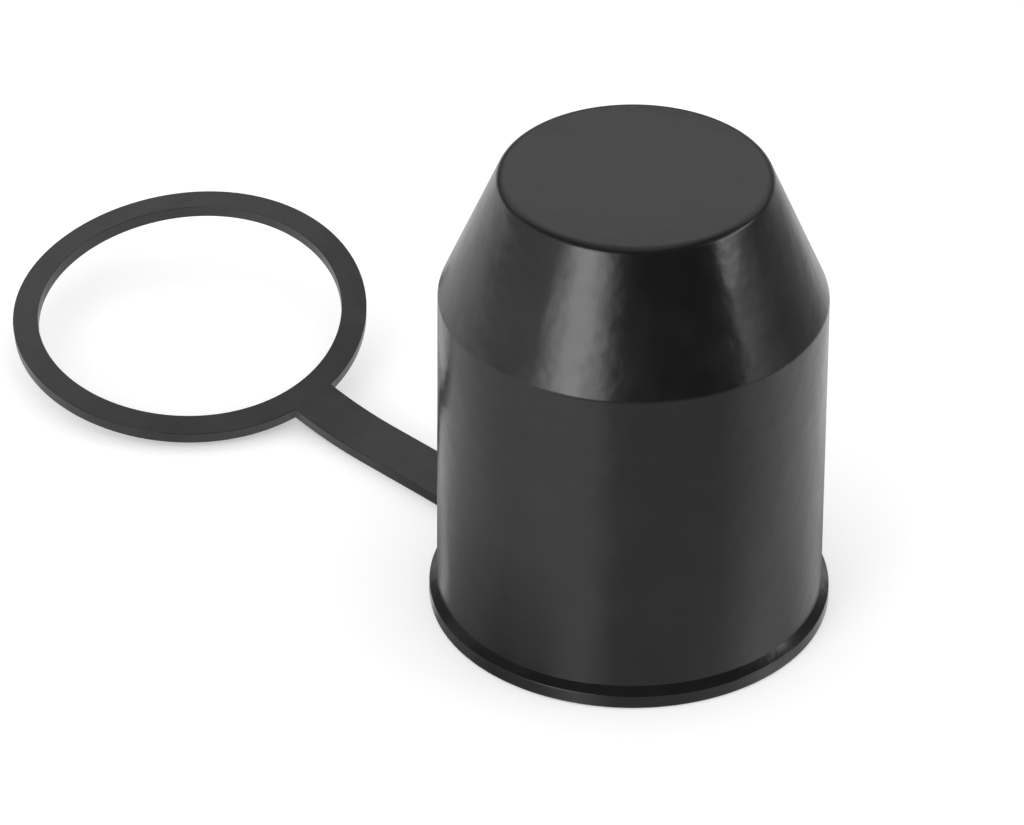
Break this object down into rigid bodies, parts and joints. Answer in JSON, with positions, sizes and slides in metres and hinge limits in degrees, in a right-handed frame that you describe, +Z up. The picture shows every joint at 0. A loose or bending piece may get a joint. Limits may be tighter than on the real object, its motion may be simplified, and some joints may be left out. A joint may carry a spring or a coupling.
{
  "type": "tow ball cover",
  "caption": "Hollow soft cap with a conical shoulder and a lip round its mouth, which covers a tow ball, moulded in one with a flat strap and a retaining ring.",
  "frame": {"origin": "centre of the cap's mouth, on the plane of the rim that the cap stands on", "axes": "+Z up along the cap's axis from the mouth to the closed top, -X towards the strap and the ring"},
  "size_m": [0.1447, 0.057, 0.07],
  "materials": {
    "black_pvc": "smooth satin black soft PVC"
  },
  "bodies": {
    "root": {"cover": "black_pvc"}
  },
  "joints": []
}
